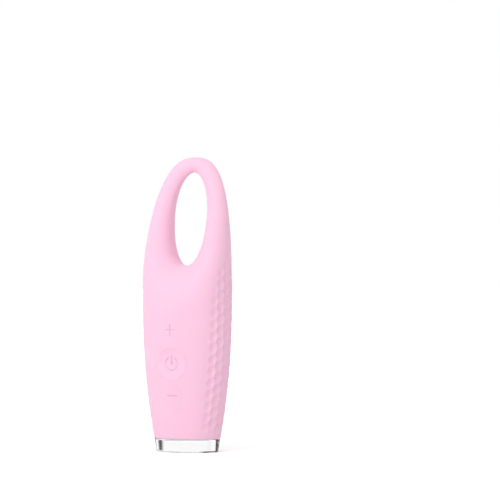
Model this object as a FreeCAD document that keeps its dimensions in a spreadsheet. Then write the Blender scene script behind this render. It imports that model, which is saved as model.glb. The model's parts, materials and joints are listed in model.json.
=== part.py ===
"""Hand-held eye massager with a loop head, a soft skin over a hard housing and a clear foot.

The massager stands on its foot: +Z is up, the buttons face -Y and the charging socket faces +Y.
The origin is the middle of the foot on the surface that it stands on. All lengths are millimetres.
"""
import FreeCAD, Part
import math
import os
import re

import Sketcher

SIZES = {
    # outer form
    "total_height": 135.0,
    "base_height": 5.9,
    "waist_height": 72.0,
    "half_width": 22.2,
    "half_depth": 15.5,
    "foot_half_width": 16.4,
    "foot_half_depth": 11.2,
    "crown_half_depth": 5.0,
    "crown_power": 2.7,
    "lean_rise": 10.0,
    "lean_reach": 7.0,
    "lean_power": 1.4,
    # opening of the loop
    "crown_band": 7.0,
    "shoulder_rise": 13.6,
    "side_band": 12.6,
    "opening_tilt": 8.0,
    "ridge_offset": 0.6,
    "side_flare": 27.5,
    "bottom_flare": 30.0,
    "rear_bottom_flare": 14.0,
    "top_flare": 60.0,
    "side_splay": 45.0,
    "top_splay": 80.0,
    "flare_reach": 20.0,
    "low_rim_share": 0.19,
    "high_rim_share": 0.052,
    # skin and housing
    "skin": 2.0,
    "fit": 0.1,
    "shell_wall": 1.6,
    "roof_radius": 4.0,
    "boss_height": 22.0,
    "boss_inset": 3.4,
    "boss_radius": 2.4,
    "ear_radius": 2.0,
    "top_boss_drop": 7.5,
    "screw_grip": 5.0,
    "screw_bite": 2.0,
    "screw_radius": 0.8,
    "screw_head_radius": 1.7,
    "screw_head_height": 1.2,
    "rib_width": 1.2,
    # buttons
    "power_height": 40.6,
    "plus_rise": 15.5,
    "minus_drop": 14.7,
    "power_cap_radius": 7.7,
    "side_cap_radius": 4.5,
    "cap_thickness": 1.2,
    "cap_gap": 0.2,
    "dish_radius": 7.4,
    "dish_depth": 0.7,
    "press_travel": 0.4,
    "stem_radius": 2.1,
    "flange_radius": 2.9,
    "flange_thickness": 0.6,
    "flange_gap": 0.55,
    "actuator_radius": 1.2,
    "switch_width": 5.2,
    "switch_height": 1.8,
    # board, chassis and battery
    "button_room": 4.1,
    "board_thickness": 1.0,
    "board_margin": 3.7,
    "standoff": 1.4,
    "standoff_radius": 1.8,
    "plate_thickness": 1.2,
    "plate_margin": 1.7,
    "small_screw_radius": 0.6,
    "small_head_radius": 1.5,
    "small_head_height": 0.9,
    "pad_thickness": 0.5,
    "battery_depth": 6.0,
    "battery_bottom": 18.0,
    "battery_radius": 1.5,
    "battery_gap": 0.6,
    "lead_room": 3.0,
    "lead_radius": 0.45,
    "lead_bend": 1.2,
    "lead_spacing": 1.0,
    "chip_width": 5.0,
    "chip_height": 1.0,
    # motors
    "motor_inset": 2.7,
    "motor_radius": 3.0,
    "motor_length": 12.0,
    "motor_drop": 10.0,
    "boot_wall": 0.7,
    "cradle_wall": 0.9,
    "shaft_radius": 0.5,
    "shaft_gap": 0.05,
    "shaft_rise": 7.0,
    "weight_radius": 2.7,
    "weight_length": 5.0,
    "weight_lift": 1.5,
    "hub_radius": 1.3,
    # loop core
    "core_radius": 2.2,
    "core_inset": 5.2,
    "core_crown_radius": 9.0,
    "core_foot": 2.5,
    "collar_radius": 3.6,
    "collar_height": 2.0,
    "collar_lift": 0.5,
    # charging socket
    "socket_height": 14.0,
    "socket_width": 4.8,
    "socket_length": 4.2,
    "socket_seat": 1.2,
    "nose_radius": 2.0,
    "nose_recess": 0.3,
    "jack_radius": 1.25,
    "jack_depth": 6.0,
    "seal_width": 0.9,
    "seal_thickness": 0.6,
    # clear foot
    "base_taper": 1.0,
    "base_wall": 2.0,
    "base_floor": 1.6,
    "base_edge_radius": 0.6,
    "spigot_height": 3.5,
    "lip_drop": 1.2,
    "lip_height": 0.8,
    "lip_bite": 0.6,
    "gasket": 0.8,
    "diffuser_thickness": 1.0,
}

doc = FreeCAD.newDocument("EyeMassager")
sheet = doc.addObject("Spreadsheet::Sheet", "Sizes")
for row, (alias, number) in enumerate(SIZES.items(), start=1):
    sheet.set(f"A{row}", alias)
    sheet.set(f"B{row}", str(number))
    sheet.setAlias(f"B{row}", alias)
doc.recompute()

NODES = []
TO_FRONT = FreeCAD.Rotation(FreeCAD.Vector(1, 0, 0), 90)
TO_BACK = FreeCAD.Rotation(FreeCAD.Vector(1, 0, 0), -90)
UPRIGHT = FreeCAD.Rotation()
SIDES = {"left": -1, "right": 1}


def linked(text):
    """Point each size name of an expression at its cell in the sheet."""
    return re.sub(r"[a-z_]+", lambda m: "Sizes." + m[0] if m[0] in SIZES else m[0], str(text))


def number(text):
    """Work out an expression with the sizes of the sheet."""
    return float(sheet.evalExpression(linked(text)))


def bind(thing, sizes, place=("0", "0", "0"), turn=UPRIGHT):
    """Bind the properties of an object and its place to expressions of the sizes."""
    thing.Placement = FreeCAD.Placement(FreeCAD.Vector(), turn)
    for prop, text in sizes.items():
        thing.setExpression(prop, linked(text))
    for axis, text in zip("xyz", place):
        thing.setExpression(f"Placement.Base.{axis}", linked(text))
    return thing


def box(name, low, high):
    """Make a box between two corners, each given as three expressions."""
    sides = {}
    for prop, start, end in zip(("Length", "Width", "Height"), low, high):
        sides[prop] = f"({end}) - ({start})"
    return bind(doc.addObject("Part::Box", name), sides, low)


def rod(name, radius, length, place, turn=UPRIGHT):
    """Make a round bar that starts at a place and runs up, or along the turned axis."""
    return bind(doc.addObject("Part::Cylinder", name), {"Radius": radius, "Height": length}, place, turn)


def fused(name, pieces):
    """Join pieces into one solid."""
    joined = doc.addObject("Part::MultiFuse", name)
    joined.Shapes = pieces
    joined.Refine = True
    return joined


def cut(name, base, tool):
    """Take a tool away from a piece."""
    result = doc.addObject("Part::Cut", name)
    result.Base = base
    result.Tool = tool
    return result


def common(name, first, second):
    """Keep what two pieces share."""
    result = doc.addObject("Part::Common", name)
    result.Base = first
    result.Tool = second
    return result


def grouped(name, pieces):
    """Gather separate solids in one piece."""
    group = doc.addObject("Part::Compound", name)
    group.Links = pieces
    return group


def node(thing, label):
    """Name a finished sub-part and note it for writing."""
    thing.Label = label
    NODES.append(thing)
    return thing


def rounded(name, base, radius, wanted):
    """Round the edges of a piece that a test picks."""
    doc.recompute()
    fillet = doc.addObject("Part::Fillet", name)
    fillet.Base = base
    size = number(radius)
    fillet.Edges = [(i, size, size) for i, edge in enumerate(base.Shape.Edges, start=1) if wanted(edge)]
    return fillet


def level_edge(height):
    """Test for edges that lie flat at a height."""
    level = number(height)

    def wanted(edge):
        limits = edge.BoundBox
        return abs(limits.ZMin - level) < 1e-3 and abs(limits.ZMax - level) < 1e-3

    return wanted


def turned(name, profile, place, turn=UPRIGHT):
    """Revolve a closed profile of (radius, height) expressions about its own axis."""
    body = doc.addObject("PartDesign::Body", name)
    plane = next(f for f in body.Origin.OriginFeatures if f.Role == "XZ_Plane")
    sketch = body.newObject("Sketcher::SketchObject", name + "_profile")
    sketch.AttachmentSupport = [(plane, "")]
    sketch.MapMode = "FlatFace"
    corners = [FreeCAD.Vector(number(radius), number(height), 0) for radius, height in profile]
    count = len(corners)
    for i in range(count):
        sketch.addGeometry(Part.LineSegment(corners[i], corners[(i + 1) % count]), False)
    for i in range(count):
        sketch.addConstraint(Sketcher.Constraint("Coincident", i, 2, (i + 1) % count, 1))
    for i, (radius, height) in enumerate(profile):
        for kind, axis_line, text in (("DistanceX", -2, radius), ("DistanceY", -1, height)):
            if text == "0":
                sketch.addConstraint(Sketcher.Constraint("PointOnObject", i, 1, axis_line))
            else:
                index = sketch.addConstraint(Sketcher.Constraint(kind, -1, 1, i, 1, number(text)))
                sketch.setExpression(f"Constraints[{index}]", linked(text))
    spin = body.newObject("PartDesign::Revolution", name + "_turn")
    spin.Profile = sketch
    spin.ReferenceAxis = (sketch, ["V_Axis"])
    spin.Angle = 360
    return bind(body, {}, place, turn)


def bent_lead(name, start, first, bend, last):
    """Sweep a wire that leaves a start along Z, bends once and runs forward along -Y."""
    x, y, z = (number(text) for text in start)
    rise = number(first)
    radius = abs(number(bend))
    way = 1 if rise > 0 else -1
    before = FreeCAD.Vector(x, y, z + rise)
    after = FreeCAD.Vector(x, y - radius, z + rise + way * radius)
    middle = FreeCAD.Vector(
        x, y - radius * (1 - math.sqrt(0.5)), z + rise + way * radius * math.sqrt(0.5)
    )
    path = doc.addObject("Part::Feature", name + "_path")
    path.Shape = Part.Wire([
        Part.LineSegment(FreeCAD.Vector(x, y, z), before).toShape(),
        Part.Arc(before, middle, after).toShape(),
        Part.LineSegment(after, FreeCAD.Vector(x, number(last), after.z)).toShape(),
    ])
    ring = bind(doc.addObject("Part::Circle", name + "_ring"), {"Radius": "lead_radius"}, start)
    lead = doc.addObject("Part::Sweep", name)
    lead.Sections = [ring]
    lead.Spine = (path, ["Edge1", "Edge2", "Edge3"])
    lead.Solid = True
    return lead


# Law of the outer form: half width, half depth and backward lean at a height.

def below_waist(full, foot, height, power):
    """Give a half size at a height between the foot and the waist."""
    drop = f"((waist_height - ({height})) / (waist_height - base_height))"
    return f"({full} - ({full} - {foot}) * {drop} ^ {power})"


def half_width_at(height):
    """Give the half width at a height below the waist."""
    return below_waist("half_width", "foot_half_width", height, 2.5)


def half_depth_at(height):
    """Give the half depth at a height below the waist."""
    return below_waist("half_depth", "foot_half_depth", height, 2)


def oval(name, half_wide, half_deep, height, back="0"):
    """Make one level section of the form."""
    radii = {"MajorRadius": half_wide, "MinorRadius": half_deep}
    return bind(doc.addObject("Part::Ellipse", name), radii, ("0", back, height))


def lofted(name, sections):
    """Loft a closed solid through sections."""
    loft = doc.addObject("Part::Loft", name)
    loft.Sections = sections
    loft.Solid = True
    return loft


def lower_form(name, inset, low, high):
    """Loft the body below the waist, drawn in by an inset, between two heights."""
    sections = []
    for i in range(6):
        height = f"({low} + ({high} - ({low})) * {i / 5})"
        wide = f"{half_width_at(height)} - ({inset})"
        deep = f"{half_depth_at(height)} - ({inset})"
        sections.append(oval(f"{name}_level_{i}", wide, deep, height))
    return lofted(name, sections)


def outer_form():
    """Loft the whole outside, from the foot to the crown of the loop."""
    sections = []
    for i in range(6):
        height = f"(base_height + (waist_height - base_height) * {i / 5})"
        sections.append(oval(f"lower_level_{i}", half_width_at(height), half_depth_at(height), height))
    head = "(total_height - waist_height)"
    for i, angle in enumerate((12, 24, 36, 48, 58, 68, 76, 82)):
        rise = round(math.sin(math.radians(angle)), 5)
        height = f"waist_height + {head} * {rise}"
        wide = f"half_width * (1 - {rise} ^ crown_power) ^ (1 / crown_power)"
        thinning = round(3 * rise ** 2 - 2 * rise ** 3, 5)
        closing = round((1 - rise ** 8) ** 0.4, 5)
        deep = f"(half_depth + (crown_half_depth - half_depth) * {thinning}) * {closing}"
        lean = f"max({head} * {rise} - lean_rise; 0) / ({head} - lean_rise)"
        back = f"lean_reach * ({lean}) ^ lean_power"
        sections.append(oval(f"head_level_{i}", wide, deep, height, back))
    tip = doc.addObject("Part::Vertex", "crown_tip")
    tip.setExpression("Y", linked("lean_reach"))
    tip.setExpression("Z", linked("total_height"))
    return lofted("outer_form", sections + [tip])


OPENING_BOTTOM = "(waist_height + shoulder_rise)"
OPENING_TOP = "(total_height - crown_band)"
OPENING_HALF_WIDTH = "(half_width - side_band)"


def opening_tool():
    """Loft the tool that cuts the loop: ovals that widen towards the front and the back."""
    tilt = math.radians(number("opening_tilt"))
    tall = (number(OPENING_TOP) - number(OPENING_BOTTOM)) / math.cos(tilt)
    reach = number("flare_reach")
    start = FreeCAD.Vector(0, number("ridge_offset"), number(OPENING_BOTTOM))
    upward = FreeCAD.Vector(0, math.sin(tilt), math.cos(tilt))
    backward = FreeCAD.Vector(0, math.cos(tilt), -math.sin(tilt))
    sections = []
    for i, share in enumerate((-1, -0.5, 0, 0.5, 1)):
        away = reach * share
        square = share ** 2
        wide = number(OPENING_HALF_WIDTH) + (number("side_flare") + number("side_splay") * square) * square
        low = -number("bottom_flare" if share < 0 else "rear_bottom_flare") * square
        high = tall + (number("top_flare") + number("top_splay") * square) * square
        middle = start + upward * ((low + high) / 2) + backward * away
        curve = Part.Ellipse(FreeCAD.Vector(), (high - low) / 2, wide)
        halves = [Part.ArcOfEllipse(curve, turn, turn + math.pi).toShape() for turn in (0, math.pi)]
        section = doc.addObject("Part::Feature", f"opening_section_{i}")
        section.Shape = Part.Wire(halves)
        section.Placement = FreeCAD.Placement(FreeCAD.Matrix(
            0, 1, 0, middle.x,
            upward.y, 0, backward.y, middle.y,
            upward.z, 0, backward.z, middle.z,
            0, 0, 0, 1,
        ))
        sections.append(section)
    return lofted("opening_tool", sections)


def looped_form(whole):
    """Cut the opening and round its rims, wide at the shoulders and narrow at the crown."""
    ring = cut("loop_cut", whole, opening_tool())
    doc.recompute()
    tall = number(OPENING_TOP) - number(OPENING_BOTTOM)
    low = number("low_rim_share") * tall
    high = number("high_rim_share") * tall
    crown = number(OPENING_TOP)
    fillet = doc.addObject("Part::Fillet", "loop_form")
    fillet.Base = ring
    rims = []
    for i, edge in enumerate(ring.Shape.Edges, start=1):
        ends = [edge.valueAt(edge.FirstParameter).z, edge.valueAt(edge.LastParameter).z]
        across = edge.BoundBox.XLength
        if across < 1 or max(ends) < crown or max(ends) > number("total_height") - 1:
            continue
        rims.append((i, high, low) if ends[0] > ends[1] else (i, low, high))
    fillet.Edges = rims
    return fillet


# Places that several pieces share. The housing stack is counted from the front of the board backwards.

INSIDE = "(skin + fit + shell_wall)"
BUTTONS = {
    "plus": ("(power_height + plus_rise)", "side_cap_radius"),
    "power": ("power_height", "power_cap_radius"),
    "minus": ("(power_height - minus_drop)", "side_cap_radius"),
}
BOARD_FRONT = f"({INSIDE} + button_room - {half_depth_at(BUTTONS['minus'][0])})"
BOARD_BACK = f"({BOARD_FRONT} + board_thickness)"
PLATE_FRONT = f"({BOARD_BACK} + standoff)"
PLATE_BACK = f"({PLATE_FRONT} + plate_thickness)"
BATTERY_FRONT = f"({PLATE_BACK} + pad_thickness)"
BATTERY_BACK = f"({BATTERY_FRONT} + battery_depth)"
BOSS_X = f"({half_width_at('boss_height')} - {INSIDE} - boss_inset)"
TOP_BOSS_HEIGHT = "(waist_height - top_boss_drop)"
SCREW_PLACES = ((f"-{BOSS_X}", "boss_height"), (BOSS_X, "boss_height"), ("0", TOP_BOSS_HEIGHT))
SCREW_SEAT = f"({PLATE_BACK} + screw_grip)"
SCREW_TIP = f"({PLATE_FRONT} - screw_bite)"
BOARD_HALF = f"({BOSS_X} - board_margin)"
PLATE_HALF = f"({BOSS_X} - plate_margin)"
BATTERY_HALF = f"({BOSS_X} - boss_radius - battery_gap)"
MOTOR_X = f"({BOSS_X} - motor_inset)"
MOTOR_Y = f"({PLATE_BACK} + motor_radius + boot_wall + 2 * fit)"
MOTOR_TOP = "(waist_height - motor_drop)"
MOTOR_BOTTOM = f"({MOTOR_TOP} - motor_length)"
BATTERY_TOP = f"({MOTOR_BOTTOM} - lead_room)"
SHELL_BOTTOM = "(base_height + gasket)"
SHELL_TOP = "(waist_height - fit)"
SPIGOT_WIDE = "(foot_half_width - skin - shell_wall - 2 * fit)"
SPIGOT_DEEP = "(foot_half_depth - skin - shell_wall - 2 * fit)"
SPIGOT_TOP = "(base_height + spigot_height)"
LIP_BOTTOM = f"({SPIGOT_TOP} - lip_drop)"
DIFFUSER_TOP = f"({SPIGOT_TOP} + diffuser_thickness)"
BOARD_BOTTOM = f"({DIFFUSER_TOP} + 2 * fit + board_thickness)"
BOARD_TOP = f"({TOP_BOSS_HEIGHT} - boss_radius - board_thickness)"
SOCKET_FACE = f"({half_depth_at('socket_height')} - skin - fit - nose_recess)"
SOCKET_BACK = f"({half_depth_at('socket_height')} - {INSIDE} - socket_seat)"
SOCKET_FRONT = f"({SOCKET_BACK} - socket_length)"


def face_of(height):
    """Give the place along Y of the front of the form at a height."""
    return f"(-{half_depth_at(height)})"


def oval_bar(name, wide, deep, low, high):
    """Make an upright bar of oval section."""
    return lofted(name, [oval(f"{name}_{end}", wide, deep, z) for end, z in (("low", low), ("high", high))])


def core_plane():
    """Give the tilt of the loop core and its length from the waist to the crown."""
    top = number("total_height - waist_height - crown_band / 2")
    head = number("total_height - waist_height - lean_rise")
    back = number("lean_reach") * ((top - number("lean_rise")) / head) ** number("lean_power")
    return math.atan2(back, top), math.hypot(back, top)


CORE_TILT, CORE_LENGTH = core_plane()
CORE_TURN = FreeCAD.Rotation(FreeCAD.Vector(1, 0, 0), -math.degrees(CORE_TILT))
CORE_HALF = f"({OPENING_HALF_WIDTH} + core_inset)"


def on_core(side, along):
    """Give the place of a point on a leg of the core, at a distance along it from the waist."""
    back = f"({along}) * {math.sin(CORE_TILT):.6f}"
    height = f"waist_height + ({along}) * {math.cos(CORE_TILT):.6f}"
    return (f"{side} * {CORE_HALF}", back, height)


def core_bar(name, room):
    """Sweep the core of the loop, larger by some room: two legs, two flanks and a crown arc."""
    half = number(CORE_HALF)
    crown = number("core_crown_radius")
    foot = -number("core_foot")
    spring = number(f"shoulder_rise + ({OPENING_TOP} - {OPENING_BOTTOM}) / 3")
    rise = CORE_LENGTH - crown - spring
    flank = (half ** 2 + rise ** 2 - crown ** 2) / (2 * (half - crown))
    flank_angle = math.atan2(rise, flank - half)
    meet_rise = CORE_LENGTH - crown + crown * math.sin(flank_angle)
    meet = FreeCAD.Vector(crown * math.cos(flank_angle), 0, meet_rise)
    bulge = FreeCAD.Vector(
        half - flank + flank * math.cos(flank_angle / 2), 0, spring + flank * math.sin(flank_angle / 2)
    )
    ends = FreeCAD.Vector(half, 0, foot), FreeCAD.Vector(half, 0, spring)

    def mirrored(point):
        return FreeCAD.Vector(-point.x, point.y, point.z)

    path = doc.addObject("Part::Feature", name + "_path")
    path.Shape = Part.Wire([
        Part.LineSegment(mirrored(ends[0]), mirrored(ends[1])).toShape(),
        Part.Arc(mirrored(ends[1]), mirrored(bulge), mirrored(meet)).toShape(),
        Part.Arc(mirrored(meet), FreeCAD.Vector(0, 0, CORE_LENGTH), meet).toShape(),
        Part.Arc(meet, bulge, ends[1]).toShape(),
        Part.LineSegment(ends[1], ends[0]).toShape(),
    ])
    path.Placement = FreeCAD.Placement(FreeCAD.Vector(0, 0, number("waist_height")), CORE_TURN)
    ring = doc.addObject("Part::Circle", name + "_ring")
    bind(ring, {"Radius": f"core_radius + {room}"}, on_core(-1, "-core_foot"), CORE_TURN)
    bar = doc.addObject("Part::Sweep", name + "_bar")
    bar.Sections = [ring]
    bar.Spine = (path, [f"Edge{i}" for i in range(1, 6)])
    bar.Solid = True
    pieces = [bar]
    for label, side in SIDES.items():
        collar = rod(
            f"{name}_collar_{label}", f"collar_radius + {room}", f"collar_height + 2 * {room}",
            on_core(side, f"collar_lift - {room}"), CORE_TURN,
        )
        pieces.append(collar)
    return fused(name, pieces)


def skin_pieces(whole):
    """Make the soft skin and the three button caps that are cut out of it."""
    chamber = lower_form("chamber_loft", "skin", "base_height", "waist_height")
    holes = [
        rounded("chamber", chamber, "roof_radius", level_edge("waist_height")),
        core_bar("core_channel", "fit / 2"),
        rod("socket_skin_hole", "nose_radius - fit", "skin * 3",
            ("0", f"{SOCKET_FACE} - skin", "socket_height"), TO_BACK),
    ]
    for name, (height, radius) in BUTTONS.items():
        front = face_of(height)
        cap_back = f"{front} + cap_thickness"
        holes.append(rod(f"{name}_skin_hole", f"{radius} + cap_gap", "skin * 4",
                         ("0", f"{front} + skin * 2", height), TO_FRONT))
        blank = rod(f"{name}_cap_blank", radius, "cap_thickness + skin", ("0", cap_back, height), TO_FRONT)
        cap = common(f"{name}_cap", whole, blank)
        if name == "power":
            ball = "((dish_radius ^ 2 + dish_depth ^ 2) / (2 * dish_depth))"
            dish = bind(doc.addObject("Part::Sphere", "power_dish"), {"Radius": ball},
                        ("0", f"{front} + dish_depth - {ball}", height))
            cap = cut("power_dished_cap", cap, dish)
        node(cap, f"{name}_button_cap")
    node(cut("skin_body", looped_form(whole), fused("skin_holes", holes)), "silicone_skin")


def housing():
    """Make the two halves of the hard housing, with bosses, ribs and holes."""
    outside = rounded("shell_outside", lower_form("shell_outer_loft", "skin + fit", SHELL_BOTTOM, SHELL_TOP),
                      "roof_radius - fit", level_edge(SHELL_TOP))
    roof = f"({SHELL_TOP} - shell_wall)"
    inside = rounded("shell_inside", lower_form("shell_inner_loft", INSIDE, SHELL_BOTTOM, roof),
                     "roof_radius - fit - shell_wall", level_edge(roof))
    hollow = [inside]
    groove_height = f"({LIP_BOTTOM} + lip_height / 2)"
    hollow.append(oval_bar(
        "lip_groove",
        f"{half_width_at(groove_height)} - {INSIDE} + lip_bite + fit",
        f"{half_depth_at(groove_height)} - {INSIDE} + lip_bite + fit",
        f"{LIP_BOTTOM} - fit", f"{LIP_BOTTOM} + lip_height + fit",
    ))
    for label, side in SIDES.items():
        hollow.append(rod(f"core_hole_{label}", "core_radius + fit", "core_foot * 2",
                          on_core(side, "-core_foot * 1.5"), CORE_TURN))
    shell = cut("shell", outside, fused("shell_hollow", hollow))
    for half_name, sign in (("front", -1), ("rear", 1)):
        far = f"({sign} * half_depth)"
        span = (far, "0") if sign < 0 else ("0", far)
        half_box = box(f"{half_name}_half", ("-half_width", span[0], "0"),
                       ("half_width", span[1], "waist_height"))
        pieces = [common(f"{half_name}_wall", shell, half_box)]
        holes = []
        bosses = []
        for i, (x, height) in enumerate(SCREW_PLACES):
            start = PLATE_FRONT if sign < 0 else PLATE_BACK
            turn = TO_FRONT if sign < 0 else TO_BACK
            bosses.append(rod(f"{half_name}_boss_{i}", "boss_radius", f"half_depth - {sign} * {start}",
                              (x, start, height), turn))
            if sign < 0:
                holes.append(rod(f"pilot_{i}", "screw_radius + fit / 2", "screw_bite + fit",
                                 (x, start, height), turn))
            else:
                holes.append(rod(f"shank_hole_{i}", "screw_radius + fit", "half_depth",
                                 (x, start, height), turn))
                holes.append(rod(f"head_hole_{i}", "screw_head_radius + fit", "half_depth",
                                 (x, SCREW_SEAT, height), turn))
        if sign < 0:
            for name, (height, _) in BUTTONS.items():
                holes.append(rod(f"{name}_stem_hole", "stem_radius + cap_gap", "half_depth",
                                 ("0", BOARD_FRONT, height), TO_FRONT))
        else:
            for label, side in SIDES.items():
                x = f"({side} * {BATTERY_HALF} / 2)"
                bosses.append(box(
                    f"battery_rib_{label}",
                    (f"{x} - rib_width / 2", f"{BATTERY_BACK} + fit", "battery_bottom + rib_width"),
                    (f"{x} + rib_width / 2", "half_depth", f"{BATTERY_TOP} - rib_width"),
                ))
                bosses.append(box(
                    f"motor_rib_{label}",
                    (f"{side} * {MOTOR_X} - rib_width / 2", f"{MOTOR_Y} + motor_radius + boot_wall + 2 * fit",
                     f"{MOTOR_BOTTOM} + rib_width"),
                    (f"{side} * {MOTOR_X} + rib_width / 2", "half_depth", f"{MOTOR_TOP} - rib_width"),
                ))
            holes.append(rod("nose_hole", "nose_radius + fit", "half_depth",
                             ("0", SOCKET_BACK, "socket_height"), TO_BACK))
        pieces.append(common(f"{half_name}_bosses", fused(f"{half_name}_boss_rods", bosses), outside))
        solid = fused(f"{half_name}_solid", pieces)
        node(cut(f"{half_name}_piece", solid, fused(f"{half_name}_holes", holes)), f"{half_name}_shell")


def button_works():
    """Make the plungers, switch actuators and switches behind the button caps."""
    switches = []
    for name, (height, _) in BUTTONS.items():
        stem = f"({INSIDE} - cap_thickness + flange_gap)"
        length = f"({stem} + flange_thickness)"
        start = f"({face_of(height)} + cap_thickness)"
        plunger = turned(f"{name}_plunger_body", (
            ("0", "0"), ("stem_radius", "0"), ("stem_radius", stem), ("flange_radius", stem),
            ("flange_radius", length), ("0", length),
        ), ("0", start, height), TO_BACK)
        node(plunger, f"{name}_plunger")
        flange_back = f"({start} + {length})"
        switch_front = f"({BOARD_FRONT} - switch_height)"
        dip = "(fit * 2)"
        actuator = rod(f"{name}_actuator", "actuator_radius", f"{switch_front} + {dip} - {flange_back}",
                       ("0", flange_back, height), TO_BACK)
        node(actuator, f"{name}_switch_actuator")
        block = box(f"{name}_switch_block",
                    ("-switch_width / 2", switch_front, f"{height} - switch_width / 2"),
                    ("switch_width / 2", BOARD_FRONT, f"{height} + switch_width / 2"))
        bore = rod(f"{name}_switch_bore", "actuator_radius + fit", f"press_travel + {dip} * 2",
                   ("0", switch_front, height), TO_BACK)
        switches.append(cut(f"{name}_switch", block, bore))
    node(grouped("switch_group", switches), "tact_switches")


STANDOFF_X = f"({BOARD_HALF} - standoff_radius)"
STANDOFF_LOW = "boss_height"
STANDOFF_HIGH = f"({BOARD_TOP} - standoff_radius - board_thickness)"
STANDOFFS = [
    (f"{side} * {STANDOFF_X}", height)
    for height in (STANDOFF_LOW, STANDOFF_HIGH)
    for side in (-1, 1)
]


def electronics():
    """Make the circuit board with its screws, parts and lights."""
    slab = box("board_slab", (f"-{BOARD_HALF}", BOARD_FRONT, BOARD_BOTTOM),
               (BOARD_HALF, BOARD_BACK, BOARD_TOP))
    corners = rounded("board_blank", slab, "board_thickness",
                      lambda edge: edge.BoundBox.YLength > 0.5 and edge.BoundBox.XLength < 0.1)
    holes = []
    screws = []
    for i, (x, height) in enumerate(STANDOFFS):
        holes.append(rod(f"board_hole_{i}", "small_screw_radius + fit", "board_thickness",
                         (x, BOARD_FRONT, height), TO_BACK))
        tip = "(small_head_height + board_thickness + standoff)"
        screws.append(turned(f"board_screw_{i}", (
            ("0", "0"), ("small_head_radius", "0"), ("small_head_radius", "small_head_height"),
            ("small_screw_radius", "small_head_height"), ("small_screw_radius", tip), ("0", tip),
        ), (x, f"{BOARD_FRONT} - small_head_height", height), TO_BACK))
    node(cut("board_cut", corners, fused("board_holes", holes)), "circuit_board")
    node(grouped("board_screw_group", screws), "board_screws")
    power_to_minus = "(power_height - minus_drop / 2)"
    chips = [box("main_chip",
                 ("-chip_width / 2", f"{BOARD_FRONT} - chip_height", f"{power_to_minus} - chip_width / 2"),
                 ("chip_width / 2", BOARD_FRONT, f"{power_to_minus} + chip_width / 2"))]
    power_to_plus = "(power_height + plus_rise / 2)"
    chips.append(box("charge_chip",
                     ("-chip_width / 4", f"{BOARD_FRONT} - chip_height", f"{power_to_plus} - chip_width / 4"),
                     ("chip_width / 4", BOARD_FRONT, f"{power_to_plus} + chip_width / 4")))
    for i in range(4):
        for label, side in SIDES.items():
            height = f"{STANDOFF_LOW} + ({STANDOFF_HIGH} - {STANDOFF_LOW}) * {(i + 1) / 5}"
            x = f"({side} * {STANDOFF_X})"
            chips.append(box(f"capacitor_{label}_{i}",
                             (f"{x} - chip_width / 6", f"{BOARD_FRONT} - chip_height", height),
                             (f"{x} + chip_width / 6", BOARD_FRONT, f"{height} + chip_height")))
    node(grouped("chip_group", chips), "board_components")
    lights = []
    for label, side in SIDES.items():
        x = f"({side} * {BOARD_HALF} / 2)"
        lights.append(box(f"led_{label}",
                          (f"{x} - chip_height", f"{BOARD_FRONT} - chip_height", BOARD_BOTTOM),
                          (f"{x} + chip_height", BOARD_FRONT, f"{BOARD_BOTTOM} + chip_height * 1.5")))
    node(grouped("led_group", lights), "indicator_leds")


LEAD_WINDOW = (f"({BATTERY_TOP} + fit)", f"({MOTOR_BOTTOM} + lead_bend)")


def chassis_pieces():
    """Make the chassis plate with ears, standoffs and motor cradles, and the housing screws."""
    pieces = [box("plate", (f"-{PLATE_HALF}", PLATE_FRONT, f"{DIFFUSER_TOP} + fit"),
                  (PLATE_HALF, PLATE_BACK, f"{TOP_BOSS_HEIGHT} + boss_radius"))]
    holes = [
        box("lead_window", (f"-{BOARD_HALF}", PLATE_FRONT, LEAD_WINDOW[0]),
            (BOARD_HALF, PLATE_BACK, LEAD_WINDOW[1])),
        rod("socket_window", "socket_width / 2", "plate_thickness",
            ("0", PLATE_FRONT, "socket_height"), TO_BACK),
    ]
    screws = []
    for i, (x, height) in enumerate(SCREW_PLACES):
        pieces.append(rod(f"ear_{i}", "ear_radius", "plate_thickness", (x, PLATE_FRONT, height), TO_BACK))
        holes.append(rod(f"ear_hole_{i}", "screw_radius + fit", "plate_thickness",
                         (x, PLATE_FRONT, height), TO_BACK))
        shank = f"({SCREW_SEAT} - {SCREW_TIP})"
        screws.append(turned(f"housing_screw_{i}", (
            ("0", "0"), ("screw_radius", "0"), ("screw_radius", shank), ("screw_head_radius", shank),
            ("screw_head_radius", f"{shank} + screw_head_height"), ("0", f"{shank} + screw_head_height"),
        ), (x, SCREW_TIP, height), TO_BACK))
    for i, (x, height) in enumerate(STANDOFFS):
        pieces.append(rod(f"standoff_{i}", "standoff_radius", "standoff", (x, BOARD_BACK, height), TO_BACK))
        holes.append(rod(f"standoff_hole_{i}", "small_screw_radius + fit / 2", "standoff + fit",
                         (x, BOARD_BACK, height), TO_BACK))
    boot_radius = "(motor_radius + boot_wall + fit)"
    for label, side in SIDES.items():
        x = f"({side} * {MOTOR_X})"
        wall = f"({boot_radius} + cradle_wall)"
        low = f"({MOTOR_BOTTOM} + lead_bend + rib_width)"
        high = f"({MOTOR_TOP} - rib_width * 2)"
        pieces.append(box(f"cradle_{label}", (f"{x} - {wall}", PLATE_BACK, low),
                          (f"{x} + {wall}", MOTOR_Y, high)))
        holes.append(rod(f"cradle_bore_{label}", boot_radius, "motor_length", (x, MOTOR_Y, MOTOR_BOTTOM)))
    node(cut("chassis_cut", fused("chassis_solid", pieces), fused("chassis_holes", holes)), "chassis")
    node(grouped("housing_screw_group", screws), "housing_screws")


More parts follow.
